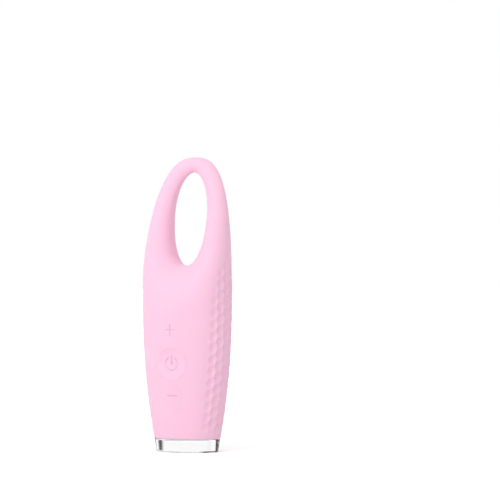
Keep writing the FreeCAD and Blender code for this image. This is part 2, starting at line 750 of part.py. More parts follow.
def battery_pieces():
    """Make the battery cell, its foam pad and its two leads."""
    cell = box("cell_block", (f"-{BATTERY_HALF}", BATTERY_FRONT, "battery_bottom"),
               (BATTERY_HALF, BATTERY_BACK, BATTERY_TOP))
    node(rounded("cell", cell, "battery_radius", lambda edge: edge.BoundBox.ZLength > 1), "battery_cell")
    margin = "battery_radius * 2"
    node(box("pad", (f"{margin} - {BATTERY_HALF}", PLATE_BACK, f"battery_bottom + {margin}"),
             (f"{BATTERY_HALF} - {margin}", BATTERY_FRONT, f"{BATTERY_TOP} - {margin}")), "battery_pad")
    leads = []
    for label, side in SIDES.items():
        start = (f"{side} * lead_spacing * 2", f"{BATTERY_FRONT} + battery_depth / 2", BATTERY_TOP)
        leads.append(bent_lead(f"battery_lead_{label}", start, "lead_room - lead_bend",
                               "lead_bend", BOARD_BACK))
    node(grouped("battery_lead_group", leads), "battery_leads")


def motor_pieces():
    """Make the two vibration motors with their boots, eccentric rotors and leads."""
    leads = []
    for label, side in SIDES.items():
        x = f"({side} * {MOTOR_X})"
        bore = "(shaft_radius + shaft_gap)"
        neck = "(shaft_radius * 2.4)"
        nose = f"({MOTOR_TOP} + shaft_radius)"
        can = turned(f"can_{label}", (
            ("0", MOTOR_BOTTOM), ("motor_radius", MOTOR_BOTTOM),
            ("motor_radius", MOTOR_TOP), (neck, MOTOR_TOP),
            (neck, nose), (bore, nose),
            (bore, f"{MOTOR_BOTTOM} + lead_bend"), ("0", f"{MOTOR_BOTTOM} + lead_bend"),
        ), (x, MOTOR_Y, "0"))
        node(can, f"motor_{label}")
        boot_inner = "(motor_radius + fit / 2)"
        boot_outer = "(motor_radius + boot_wall)"
        boot_low = f"({MOTOR_BOTTOM} + boot_wall)"
        boot_high = f"({MOTOR_TOP} - boot_wall)"
        boot = turned(f"boot_{label}", (
            (boot_inner, boot_low), (boot_outer, boot_low), (boot_outer, boot_high), (boot_inner, boot_high),
        ), (x, MOTOR_Y, "0"))
        node(boot, f"motor_boot_{label}")
        shaft_low = f"({MOTOR_BOTTOM} + lead_bend + fit)"
        shaft = rod(f"shaft_{label}", "shaft_radius", f"{MOTOR_TOP} + shaft_rise - {shaft_low}",
                    (x, MOTOR_Y, shaft_low))
        weight_low = f"{MOTOR_TOP} + weight_lift"
        hub = rod(f"hub_{label}", "hub_radius", "weight_length", (x, MOTOR_Y, weight_low))
        weight = rod(f"weight_{label}", "weight_radius", "weight_length", (x, MOTOR_Y, weight_low))
        weight.Angle = 180
        node(fused(f"rotor_solid_{label}", [shaft, hub, weight]), f"rotor_{label}")
        outer_lead = "motor_radius - lead_radius - fit"
        for i, inset in enumerate((outer_lead, outer_lead + " - lead_spacing")):
            start = (f"{side} * ({MOTOR_X} - ({inset}))", MOTOR_Y, MOTOR_BOTTOM)
            leads.append(bent_lead(f"motor_lead_{label}_{i}", start, "-fit * 2", "lead_bend", BOARD_BACK))
    node(grouped("motor_lead_group", leads), "motor_leads")


def socket_pieces():
    """Make the charging socket, its seal and its leads."""
    half = "socket_width / 2"
    block = box("socket_block", (f"-{half}", SOCKET_FRONT, f"socket_height - {half}"),
                (half, SOCKET_BACK, f"socket_height + {half}"))
    nose = rod("socket_nose", "nose_radius", f"{SOCKET_FACE} - {SOCKET_BACK}",
               ("0", SOCKET_BACK, "socket_height"), TO_BACK)
    jack = rod("socket_jack", "jack_radius", "jack_depth", ("0", SOCKET_FACE, "socket_height"), TO_FRONT)
    node(cut("socket_cut", fused("socket_solid", [block, nose]), jack), "charging_socket")
    ring = turned("socket_ring", (
        ("nose_radius + fit / 2", "0"), ("nose_radius + seal_width", "0"),
        ("nose_radius + seal_width", "seal_thickness"), ("nose_radius + fit / 2", "seal_thickness"),
    ), ("0", SOCKET_BACK, "socket_height"), TO_BACK)
    node(ring, "socket_seal")
    leads = []
    for label, side in SIDES.items():
        leads.append(rod(f"socket_lead_{label}", "lead_radius", f"{SOCKET_FRONT} - {BOARD_BACK}",
                         (f"{side} * lead_spacing", BOARD_BACK, "socket_height"), TO_BACK))
    node(grouped("socket_lead_group", leads), "socket_leads")


def foot_pieces():
    """Make the clear foot, its gasket and the light diffuser above it."""
    block = lofted("foot_block", [
        oval("foot_block_low", "foot_half_width - base_taper", "foot_half_depth - base_taper", "0"),
        oval("foot_block_high", "foot_half_width", "foot_half_depth", "base_height"),
    ])
    soft_block = rounded("foot_soft_block", block, "base_edge_radius", level_edge("0"))
    lip_height = f"({LIP_BOTTOM} + lip_height / 2)"
    lip_wide = f"{half_width_at(lip_height)} - {INSIDE} + lip_bite"
    lip_deep = f"{half_depth_at(lip_height)} - {INSIDE} + lip_bite"
    solid = fused("foot_solid", [
        soft_block,
        oval_bar("foot_spigot", SPIGOT_WIDE, SPIGOT_DEEP, "base_height - fit", SPIGOT_TOP),
        oval_bar("foot_lip", lip_wide, lip_deep, LIP_BOTTOM, f"{LIP_BOTTOM} + lip_height"),
    ])
    hollow = oval_bar("foot_hollow", f"{SPIGOT_WIDE} - base_wall", f"{SPIGOT_DEEP} - base_wall",
                      "base_floor", SPIGOT_TOP)
    node(cut("foot_cut", solid, hollow), "clear_base")
    outer = oval_bar("gasket_outer", "foot_half_width - skin - fit", "foot_half_depth - skin - fit",
                     "base_height", SHELL_BOTTOM)
    inner = oval_bar("gasket_inner", f"foot_half_width - {INSIDE}", f"foot_half_depth - {INSIDE}",
                     "base_height", SHELL_BOTTOM)
    node(cut("gasket_ring", outer, inner), "base_seal")
    node(oval_bar("diffuser", SPIGOT_WIDE, SPIGOT_DEEP, SPIGOT_TOP, DIFFUSER_TOP), "light_diffuser")


def check():
    """Stop if an object failed or a sub-part is not a sound solid."""
    for thing in doc.Objects:
        if "Invalid" in thing.State or "Error" in thing.State:
            raise RuntimeError(f"{thing.Name} failed: {thing.State}")
    for thing in NODES:
        shape = thing.Shape
        if shape.isNull() or not shape.isValid() or not shape.Solids or shape.Volume <= 0:
            raise RuntimeError(f"{thing.Label} is not a sound solid")


def write():
    """Write each sub-part to its own file."""
    os.makedirs("parts", exist_ok=True)
    for thing in NODES:
        thing.Shape.exportStep(f"parts/{thing.Label}.step")
        print(f"{thing.Label}: {len(thing.Shape.Solids)} solid(s), {thing.Shape.Volume:.1f} mm3")


form = outer_form()
skin_pieces(form)
node(core_bar("core", "0"), "loop_core")
housing()
button_works()
electronics()
chassis_pieces()
battery_pieces()
motor_pieces()
socket_pieces()
foot_pieces()
doc.recompute()
check()
write()
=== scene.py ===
"""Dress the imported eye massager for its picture.

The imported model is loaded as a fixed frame. The soft skin, the three button caps and the clear foot
are built again as finer meshes that stand for their CAD nodes. Every other node keeps its mesh and
gets a procedural finish. Sizes are in millimetres, but those of a finish are in metres.
"""

from __future__ import annotations

import json
import logging
import math
from dataclasses import dataclass, field
from enum import Enum

import bmesh
import bpy
import numpy as np
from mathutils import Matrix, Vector

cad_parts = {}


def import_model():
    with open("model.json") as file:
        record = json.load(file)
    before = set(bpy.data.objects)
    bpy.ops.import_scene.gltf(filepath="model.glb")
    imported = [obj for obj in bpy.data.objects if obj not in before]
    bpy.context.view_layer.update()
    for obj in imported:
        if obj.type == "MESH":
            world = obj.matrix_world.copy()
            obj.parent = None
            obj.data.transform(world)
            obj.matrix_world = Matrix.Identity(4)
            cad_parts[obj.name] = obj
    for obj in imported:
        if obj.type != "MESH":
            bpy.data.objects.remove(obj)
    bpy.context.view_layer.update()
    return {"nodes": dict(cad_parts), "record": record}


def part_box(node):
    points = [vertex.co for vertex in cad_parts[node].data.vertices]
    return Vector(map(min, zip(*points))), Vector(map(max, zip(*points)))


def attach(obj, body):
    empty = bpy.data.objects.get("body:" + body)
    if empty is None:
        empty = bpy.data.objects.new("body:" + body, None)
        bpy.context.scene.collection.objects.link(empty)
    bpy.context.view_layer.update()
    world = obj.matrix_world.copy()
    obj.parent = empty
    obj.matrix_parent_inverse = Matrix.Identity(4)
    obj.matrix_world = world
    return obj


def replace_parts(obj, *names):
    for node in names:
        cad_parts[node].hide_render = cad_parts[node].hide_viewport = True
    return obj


LOG = logging.getLogger("massager")
MM = 0.001
TINY = 1e-6
Array = np.ndarray
Material = bpy.types.Material
Piece = bpy.types.Object
Socket = bpy.types.NodeSocket
Pair = tuple[float, float]
Colour = Place = tuple[float, float, float]
BLACK = (0.0, 0.0, 0.0)
WHITE = (1.0, 1.0, 1.0)


def smooth_step(low: float, high: float, value: Array) -> Array:
    """Rise softly from 0 at low to 1 at high, for each number in value."""
    share = np.clip((value - low) / (high - low), 0.0, 1.0)
    return share * share * (3.0 - 2.0 * share)


def full_turn(count: int) -> Array:
    """Share a full turn into equal angles, from 0."""
    return np.arange(count) * 2.0 * math.pi / count


def neighbours(count: int) -> list[tuple[int, int]]:
    """Pair each number of a ring with the next one."""
    return [(i, (i + 1) % count) for i in range(count)]


def finish_mesh(name: str, points: Array, faces: list[list[int]], material: Material) -> Piece:
    """Make a smooth-shaded mesh object at the origin.

    Args:
        name: Name of the object and its mesh.
        points: Corner places in millimetres, one row each.
        faces: Corner numbers of each face, turned outwards.
        material: Finish of the whole mesh.

    Returns:
        The new object, linked to the scene.
    """
    mesh = bpy.data.meshes.new(name)
    corners = [list(map(int, face)) for face in faces]
    mesh.from_pydata((points * MM).tolist(), [], corners)
    mesh.polygons.foreach_set("use_smooth", np.ones(len(mesh.polygons), bool))
    mesh.materials.append(material)
    mesh.update()
    piece = bpy.data.objects.new(name, mesh)
    bpy.context.scene.collection.objects.link(piece)
    return piece


class NodeWriter:
    """Adds nodes to a tree and joins them."""

    def __init__(self, tree: bpy.types.NodeTree) -> None:
        """Keep the tree that is written."""
        self.tree = tree

    def add(
        self,
        kind: str,
        values: dict[str, object] | None = None,
        links: dict[str, Socket] | None = None,
    ) -> bpy.types.Node:
        """Add a node.

        Args:
            kind: Type of the node.
            values: Constants by input or property name.
            links: Sockets to join, by input name.

        Returns:
            The new node.
        """
        node = self.tree.nodes.new(kind)
        for name, value in (values or {}).items():
            if name in node.inputs:
                node.inputs[name].default_value = value
            else:
                setattr(node, name, value)
        for name, socket in (links or {}).items():
            self.tree.links.new(socket, node.inputs[name])
        return node

    def math_node(self, operation: str, *values: Socket | float) -> Socket:
        """Add a math node.

        Args:
            operation: What it works out.
            values: Sockets to join or numbers to set, in order.

        Returns:
            The result.
        """
        node = self.add("ShaderNodeMath", {"operation": operation})
        for i, value in enumerate(values):
            if isinstance(value, (int, float)):
                node.inputs[i].default_value = value
            else:
                self.tree.links.new(value, node.inputs[i])
        return node.outputs[0]

    def spread(
        self, source: Socket, low: float, high: float, start: float = 0.0, end: float = 1.0
    ) -> Socket:
        """Map the range from start to end on to the range from low to high."""
        ends = {"From Min": start, "From Max": end, "To Min": low, "To Max": high}
        return self.add("ShaderNodeMapRange", ends, {"Value": source}).outputs[0]

    def seen_rays(self) -> Socket:
        """Tell the rays that show a surface from those that light other things with it.

        Returns:
            A socket that is 1 for camera, glossy and transmission rays.
        """
        path = self.add("ShaderNodeLightPath").outputs
        seen = path["Is Camera Ray"]
        for name in ("Is Glossy Ray", "Is Transmission Ray"):
            seen = self.math_node("MAXIMUM", seen, path[name])
        return seen


class Grain(Enum):
    """The texture of a finish: its node, output, constants and the stretch of its place."""

    CLOUD = ("ShaderNodeTexNoise", "Fac", {"Detail": 4.0}, None)
    BRUSHED = ("ShaderNodeTexNoise", "Fac", {"Detail": 4.0}, (1.0, 1.0, 0.04))
    CELLS = ("ShaderNodeTexVoronoi", "Distance", {}, None)
    TRACES = ("ShaderNodeTexBrick", "Fac",
              {"Mortar Size": 0.06, "Brick Width": 0.9, "Row Height": 0.3}, None)


class Shader(NodeWriter):
    """One node material around a Principled shader."""

    def __init__(self, name: str) -> None:
        """Start a material.

        Args:
            name: Name of the material.
        """
        self.material = bpy.data.materials.new(name)
        self.material.use_nodes = True
        super().__init__(self.material.node_tree)
        self.surface = self.tree.nodes["Principled BSDF"]
        self.place = self.add("ShaderNodeTexCoord").outputs["Object"]

    def grain(self, kind: Grain, scale: float) -> Socket:
        """Add the texture of a finish.

        Args:
            kind: Which texture.
            scale: Repeats in a metre.

        Returns:
            A socket that runs from 0 to 1.
        """
        node, output, values, stretch = kind.value
        place = self.place
        if stretch:
            place = self.add("ShaderNodeMapping", {"Scale": stretch}, {"Vector": place}).outputs[0]
        return self.add(node, {"Scale": scale, **values}, {"Vector": place}).outputs[output]

    def ramp(self, source: Socket, low: Colour, high: Colour) -> Socket:
        """Turn a share into a colour.

        Args:
            source: Share from 0 to 1.
            low: Linear colour at 0.
            high: Linear colour at 1.

        Returns:
            The colour socket.
        """
        node = self.add("ShaderNodeValToRGB", links={"Fac": source})
        for stop, colour in zip(node.color_ramp.elements, (low, high)):
            stop.color = (*colour, 1.0)
        return node.outputs["Color"]

    def wire(self, name: str, socket: Socket) -> None:
        """Join a socket to the named input of the Principled shader."""
        self.tree.links.new(socket, self.surface.inputs[name])

    def fix(self, values: dict[str, object]) -> None:
        """Set constants of the Principled shader by input name."""
        for name, value in values.items():
            self.surface.inputs[name].default_value = value


@dataclass(frozen=True)
class Finish:
    """A plain finish with fine procedural variation."""

    name: str
    low: Colour
    high: Colour
    rough: Pair = (0.35, 0.5)
    scale: float = 600.0
    kind: Grain = Grain.CLOUD
    relief: float = 0.02
    settings: tuple[tuple[str, object], ...] = ()
    relief_depth: float = 0.0002

    def colour(self, shader: Shader, grain: Socket) -> Socket:
        """Give the colour that the grain varies."""
        return shader.ramp(grain, self.low, self.high)

    def dress(self, shader: Shader) -> Material:
        """Wire the colour, gloss and relief.

        Args:
            shader: Material being written.

        Returns:
            The finished material.
        """
        grain = shader.grain(self.kind, self.scale)
        shader.wire("Base Color", self.colour(shader, grain))
        shader.wire("Roughness", shader.spread(grain, *self.rough))
        bump = {"Strength": self.relief, "Distance": self.relief_depth}
        shader.wire("Normal", shader.add("ShaderNodeBump", bump, {"Height": grain}).outputs[0])
        shader.fix(dict(self.settings))
        return shader.material


@dataclass(frozen=True)
class SiliconeFinish(Finish):
    """Soft satin silicone: a little light goes into it, and its engraved marks get painted shade."""

    # Colour of the painted shade in the engraved strokes of the signs.
    shaded_mark: Colour = (0.84, 0.51, 0.68)
    cloud_size: float = 20.0

    def colour(self, shader: Shader, grain: Socket) -> Socket:
        """Give a colour that varies in wide clouds, with painted shade in the engraved marks.

        Args:
            shader: Material being written.
            grain: The fine grain, not used here; only the gloss and the relief follow it.

        Returns:
            The colour socket.
        """
        cloud = shader.grain(Grain.CLOUD, self.scale / self.cloud_size)
        body = super().colour(shader, cloud)
        # Painted shade: darken the colour within the engraved strokes.
        shaded_mark = shader.add("ShaderNodeAttribute", {"attribute_name": "shaded_mark"}).outputs["Fac"]
        links = {"Fac": shaded_mark, "Color1": body}
        return shader.add("ShaderNodeMixRGB", {"Color2": (*self.shaded_mark, 1.0)}, links).outputs[0]


PINK = ((0.955, 0.57, 0.735), (0.985, 0.6, 0.765), (0.5, 0.58), 900.0)
SOFT = (("Subsurface Weight", 0.3), ("Subsurface Radius", (1.0, 0.3, 0.38)), ("IOR", 1.41),
        ("Specular IOR Level", 0.3))
CLEAR = (("Transmission Weight", 1.0), ("IOR", 1.49))
MILKY = (("Subsurface Weight", 0.2), ("Subsurface Scale", 0.001))
METAL = (("Metallic", 1.0),)
FOIL = (("Metallic", 0.8),)
FINISHES = (
    SiliconeFinish("pink_silicone", *PINK, settings=(*SOFT, ("Subsurface Scale", 0.0025))),
    SiliconeFinish("button_silicone", *PINK, settings=(*SOFT, ("Subsurface Scale", 0.0003))),
    Finish("clear_plastic", (0.97, 0.975, 0.98), WHITE, (0.01, 0.04), relief=0.004, settings=CLEAR),
    Finish("white_plastic", (0.76, 0.76, 0.75), (0.82, 0.82, 0.81), (0.4, 0.55), 1500.0),
    Finish("core_plastic", (0.7, 0.68, 0.66), (0.78, 0.76, 0.74), (0.45, 0.6), 1200.0),
    Finish("diffuser_plastic", (0.9, 0.9, 0.9), (0.95, 0.95, 0.95), scale=800.0, settings=MILKY),
    Finish("board_laminate", (0.012, 0.11, 0.04), (0.03, 0.2, 0.075), (0.3, 0.45), 260.0,
           Grain.TRACES),
    Finish("chip_black", (0.012, 0.012, 0.013), (0.03, 0.03, 0.032), (0.4, 0.6), 2500.0),
    Finish("switch_black", (0.015, 0.015, 0.016), (0.035, 0.035, 0.036), scale=1800.0),
    Finish("led_lens", (0.85, 0.8, 0.62), (0.92, 0.88, 0.7), (0.15, 0.25), 900.0, Grain.CELLS),
    Finish("screw_steel", (0.45, 0.45, 0.46), (0.62, 0.62, 0.63), (0.22, 0.4), 2600.0,
           Grain.BRUSHED, settings=METAL),
    Finish("motor_steel", (0.5, 0.5, 0.5), (0.66, 0.66, 0.66), (0.2, 0.38), 2200.0,
           Grain.BRUSHED, settings=METAL),
    Finish("weight_alloy", (0.3, 0.29, 0.28), (0.42, 0.41, 0.4), (0.35, 0.55), 2400.0,
           Grain.CELLS, settings=METAL),
    Finish("cell_foil", (0.55, 0.56, 0.58), (0.74, 0.75, 0.77), (0.25, 0.45), 350.0,
           Grain.CELLS, 0.15, FOIL),
    Finish("foam", (0.06, 0.06, 0.065), (0.12, 0.12, 0.125), (0.85, 0.98), 2200.0,
           Grain.CELLS, 0.5),
    Finish("seal_rubber", (0.75, 0.7, 0.72), (0.82, 0.78, 0.8), (0.55, 0.7), 1600.0),
    Finish("wire_red", (0.5, 0.015, 0.012), (0.62, 0.03, 0.025), kind=Grain.BRUSHED, scale=1500.0),
    Finish("wire_black", (0.012, 0.012, 0.012), (0.03, 0.03, 0.03), kind=Grain.BRUSHED,
           scale=1500.0),
    Finish("socket_black", (0.01, 0.01, 0.011), (0.025, 0.025, 0.026), (0.3, 0.45), 1800.0),
)


class Side(Enum):
    """A face of the body, as the sign of y."""

    FRONT = -1.0
    BACK = 1.0


@dataclass(frozen=True)
class BodyForm:
    """The outside of the massager as a level function: negative within the soft body."""

    height: float
    base: float
    half_width: float
    foot_width: float
    foot_depth: float
    half_depth: float = 15.5
    waist: float = 72.0
    foot_powers: Pair = (2.5, 2.0)
    crown_depth: float = 5.0
    crown_power: float = 2.55
    tip_powers: Pair = (8.0, 0.4)
    tip_gap: float = 0.001
    lean_start: float = 82.0
    lean_reach: float = 7.0
    lean_power: float = 1.4
    opening_low: float = 85.1
    crown_band: float = 7.2
    opening_half: float = 9.6
    opening_power: float = 2.3
    opening_tilt: float = math.radians(8.0)
    ridge: float = 0.6
    side_flare: float = 0.048
    front_flare: float = 0.056
    rear_flare: float = 0.026
    top_flare: float = 0.08
    rim_radii: Pair = (14.0, 5.0)
    rim_start: float = 3.0
    rim_power: float = 0.7
    slope_step: float = 0.05
    steepest: float = 4.0
    flattest: float = 1e-4

    @classmethod
    def from_frame(cls) -> "BodyForm":
        """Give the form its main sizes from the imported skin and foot."""
        low, high, _, foot = (c / MM for c in (*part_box("silicone_skin"), *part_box("clear_base")))
        return cls(high.z, low.z, high.x, foot.x, foot.y)

    def sections(self, z: Array) -> tuple[Array, Array, Array]:
        """Give the oval of each level.

        Args:
            z: Heights.

        Returns:
            Half widths, half depths and how far back the centres are.
        """
        z = np.minimum(z, self.height - self.tip_gap)
        drop = np.clip((self.waist - z) / (self.waist - self.base), 0.0, None)
        rise = np.clip((z - self.waist) / (self.height - self.waist), 0.0, 1.0)
        taper, power = self.foot_powers, self.crown_power
        below_width = self.half_width - (self.half_width - self.foot_width) * drop**taper[0]
        above_width = self.half_width * (1.0 - rise**power) ** (1.0 / power)
        below_depth = self.half_depth - (self.half_depth - self.foot_depth) * drop**taper[1]
        ease = 3.0 * rise**2 - 2.0 * rise**3
        above_depth = self.half_depth + (self.crown_depth - self.half_depth) * ease
        above_depth = above_depth * (1.0 - rise ** self.tip_powers[0]) ** self.tip_powers[1]
        lean = np.clip(z - self.lean_start, 0.0, None) / (self.height - self.lean_start)
        low = z <= self.waist
        width = np.where(low, below_width, above_width)
        depth = np.where(low, below_depth, above_depth)
        return width, depth, self.lean_reach * lean**self.lean_power

    def radius(self, p: Array, z: Array) -> Array:
        """Measure how far out points are, where 1 is on the oval of the level z."""
        width, depth, back = self.sections(z)
        return np.sqrt((p[:, 0] / width) ** 2 + ((p[:, 1] - back) / depth) ** 2)

    def outside(self, p: Array) -> Array:
        """Measure roughly how far points are outside the whole body.

        Args:
            p: Points, one row each.

        Returns:
            Millimetres, negative inside.
        """
        z, step = p[:, 2], self.slope_step
        width, depth, back = self.sections(z)
        out = np.maximum(self.radius(p, z), TINY)
        along_z = (self.radius(p, z + step) - self.radius(p, z - step)) / (2.0 * step)
        along_x = p[:, 0] / width**2 / out
        along_y = (p[:, 1] - back) / depth**2 / out
        slope = np.sqrt(along_x**2 + along_y**2 + np.minimum(along_z**2, self.steepest))
        return np.maximum((out - 1.0) / np.maximum(slope, self.flattest), z - self.height)

    def opening(self, p: Array) -> Array:
        """Measure roughly how deep points are within the flared opening.

        Args:
            p: Points, one row each.

        Returns:
            Millimetres, positive inside the opening.
        """
        sine, cosine = math.sin(self.opening_tilt), math.cos(self.opening_tilt)
        length = (self.height - self.crown_band - self.opening_low) / cosine
        dy, dz = p[:, 1] - self.ridge, p[:, 2] - self.opening_low
        up, through = dy * sine + dz * cosine, dy * cosine - dz * sine
        half = self.opening_half + self.side_flare * through**2
        bottom = np.where(through < 0.0, self.front_flare, self.rear_flare) * through**2
        top = self.top_flare * through**2
        middle, rise = (length + top - bottom) / 2.0, (length + top + bottom) / 2.0
        across, along = np.abs(p[:, 0]) / half, np.abs(up - middle) / rise
        power = np.where(up < middle, self.opening_power, 2.0)
        out = np.maximum((across**power + along**power) ** (1.0 / power), TINY)
        less = power - 1.0
        slope = np.hypot(across**less / half, along**less / rise) / out**less
        return (1.0 - out) / np.maximum(slope, self.flattest)

    def level(self, p: Array) -> Array:
        """Join the body and its opening with a round rim that is wider below.

        Args:
            p: Points, one row each.

        Returns:
            The level of each point, negative inside.
        """
        outside, opening = self.outside(p), self.opening(p)
        start = self.waist + self.rim_start
        share = np.clip((p[:, 2] - start) / (self.height - start), 0.0, 1.0) ** self.rim_power
        rim = self.rim_radii[0] + (self.rim_radii[1] - self.rim_radii[0]) * share
        near = np.clip(rim - np.abs(outside - opening), 0.0, None) / rim
        return np.maximum(outside, opening) + near * near * rim * 0.25

    def face(self, x: Array, z: Array, side: Side) -> Array:
        """Find the plain front or back below the opening, as places in y."""
        width, depth, back = self.sections(z)
        return back + side.value * depth * np.sqrt(np.clip(1.0 - (x / width) ** 2, 0.0, 1.0))


@dataclass(frozen=True)
class NetMesher:
    """Turns a level function into an even net of quads that lies on its zero.

    The grid's room is given from the foot of the skin below and from its crown above, and reaches
    are shares of a cell.
    """

    form: BodyForm
    cell: float
    room_low: Place = (-24.0, -18.0, -3.0)
    room_high: Place = (24.0, 20.0, 2.0)
    first_reaches: tuple[float, ...] = (0.8, 0.6, 0.4)
    last_reaches: tuple[float, ...] = (0.4, 0.25)
    halvings: int = 14

    def nets(self) -> tuple[Array, Array]:
        """Find one point in each crossed cell and join the points of neighbours.

        Returns:
            Points, and quads turned outwards.
        """
        low = np.array(self.room_low) + (0.0, 0.0, self.form.base)
        high = np.array(self.room_high) + (0.0, 0.0, self.form.height)
        count = np.ceil((high - low) / self.cell).astype(int) + 1
        axes = [low[i] + np.arange(count[i]) * self.cell for i in range(3)]
        grid = np.stack(np.meshgrid(*axes, indexing="ij"), -1)
        level = self.form.level(grid.reshape(-1, 3)).reshape(count)
        cells = count - 1
        corners = list(np.ndindex(2, 2, 2))
        at = {c: level[tuple(slice(c[i], c[i] + cells[i]) for i in range(3))] for c in corners}
        inside = sum((at[c] < 0).astype(int) for c in corners)
        crossed = (inside > 0) & (inside < len(corners))
        places = np.argwhere(crossed)
        number = -np.ones(cells, int)
        number[crossed] = np.arange(len(places))
        total, hits = np.zeros((len(places), 3)), np.zeros(len(places))
        for start, axis in ((c, axis) for c in corners for axis in range(3) if not c[axis]):
            end = tuple(1 if i == axis else start[i] for i in range(3))
            a, b = at[start][crossed], at[end][crossed]
            cut = (a < 0) != (b < 0)
            share = np.where(cut, a / np.where(cut, a - b, 1.0), 0.0)
            point = np.array(start) + share[:, None] * np.eye(3)[axis]
            total += np.where(cut[:, None], point, 0.0)
            hits += cut
        points = low + (places + total / hits[:, None]) * self.cell
        quads = [self.quads_along(axis, level < 0, number) for axis in range(3)]
        return points, np.concatenate(quads)

    @staticmethod
    def quads_along(axis: int, inside: Array, number: Array) -> Array:
        """Make a quad around each grid edge along an axis that the surface crosses.

        Args:
            axis: 0, 1 or 2.
            inside: Which grid corners are inside.
            number: Point number of each cell, or -1.

        Returns:
            Corner numbers, four in a row.
        """
        u, w = (axis + 1) % 3, (axis + 2) % 3
        a, b = np.delete(inside, -1, axis), np.delete(inside, 0, axis)
        unit, found = np.eye(3, dtype=int), []
        for order, mask in ((1, a & ~b), (-1, ~a & b)):
            edge = np.argwhere(mask)
            fits = (edge[:, u] > 0) & (edge[:, w] > 0)
            fits &= (edge[:, u] < number.shape[u]) & (edge[:, w] < number.shape[w])
            around = [edge[fits] - du * unit[u] - dw * unit[w]
                      for du, dw in ((1, 1), (0, 1), (0, 0), (1, 0))]
            quads = np.stack([number[tuple(cell.T)] for cell in around], 1)
            found.append(quads[:, ::order])
        return np.concatenate(found)

    @staticmethod
    def split(points: Array, quads: Array) -> tuple[Array, Array]:
        """Cut every quad in four.

        Args:
            points: Corner places.
            quads: Corner numbers.

        Returns:
            The finer points and quads.
        """
        pairs = np.stack([quads, np.roll(quads, -1, axis=1)], -1).reshape(-1, 2)
        edges, index = np.unique(np.sort(pairs, axis=1), axis=0, return_inverse=True)
        middle = len(points) + index.reshape(-1, 4)
        centre = len(points) + len(edges) + np.arange(len(quads))
        finer = np.concatenate([points, points[edges].mean(1), points[quads].mean(1)])
        parts = [
            np.stack([quads[:, i], middle[:, i], centre, middle[:, i - 1]], 1) for i in range(4)
        ]
        return finer, np.concatenate(parts)

    def settle(self, points: Array, quads: Array, reach: float) -> Array:
        """Move points along their normals on to the surface.

        Args:
            points: Corner places.
            quads: Corner numbers.
            reach: How far a point may move.

        Returns:
            The moved points.
        """
        corner = [points[quads[:, i]] for i in range(4)]
        across = np.cross(corner[2] - corner[0], corner[3] - corner[1])
        normal = np.zeros_like(points)
        for i in range(4):
            np.add.at(normal, quads[:, i], across)
        normal /= np.maximum(np.linalg.norm(normal, axis=1), TINY)[:, None]
        near, far = points - normal * reach, points + normal * reach
        fits = (self.form.level(near) < 0) & (self.form.level(far) > 0)
        for _ in range(self.halvings):
            middle = (near + far) / 2.0
            within = (self.form.level(middle) < 0)[:, None]
            near, far = np.where(within, middle, near), np.where(within, far, middle)
        return np.where(fits[:, None], (near + far) / 2.0, points)

    def mesh(self) -> tuple[Array, Array]:
        """Make the whole net, settled and once refined.

        Returns:
            Points and quads.
        """
        points, quads = self.nets()
        for reach in self.first_reaches:
            points = self.settle(points, quads, reach * self.cell)
        points, quads = self.split(points, quads)
        for reach in self.last_reaches:
            points = self.settle(points, quads, reach * self.cell)
        return points, quads


@dataclass(frozen=True)
class Hole:
    """A round hole through the skin, seen along y. Its clearances are shares of a cell."""

    centre: Pair
    radius: float
    side: Side
    depth: float
    steps: int = 112
    clear: float = 0.7
    border: float = 3.0

    def reach(self, point: Vector) -> float:
        """Measure how far a skin point is from the axis, without end on the other side."""
        away = math.hypot(point.x - self.centre[0], point.z - self.centre[1])
        return away if point.y * self.side.value > 0.0 else math.inf

    def cut(self, bm: bmesh.types.BMesh, form: BodyForm, cell: float) -> None:
        """Open the hole with a true circle and give it a wall.

        Args:
            bm: Skin, in millimetres.
            form: Body that the circle lies on.
            cell: Size of the skin's quads.
        """
        room = self.radius + cell * self.clear
        doomed = [face for face in bm.faces if min(self.reach(v.co) for v in face.verts) < room]
        bmesh.ops.delete(bm, geom=doomed, context="FACES")
        near = room + self.border * cell
        border = [e for e in bm.edges if e.is_boundary and self.reach(e.verts[0].co) < near]
        turn = full_turn(self.steps)
        x = self.centre[0] + self.radius * np.cos(turn)
        z = self.centre[1] + self.radius * np.sin(turn)
        y = form.face(x, z, self.side)
        rim = [bm.verts.new(place) for place in zip(x, y, z)]
        end = [bm.verts.new(place) for place in zip(x, y - self.side.value * self.depth, z)]
        ring = [bm.edges.new((rim[i], rim[j])) for i, j in neighbours(self.steps)]
        bmesh.ops.bridge_loops(bm, edges=border + ring)
        for i, j in neighbours(self.steps):
            bm.faces.new((rim[i], rim[j], end[j], end[i]))
            ring[i].smooth = False


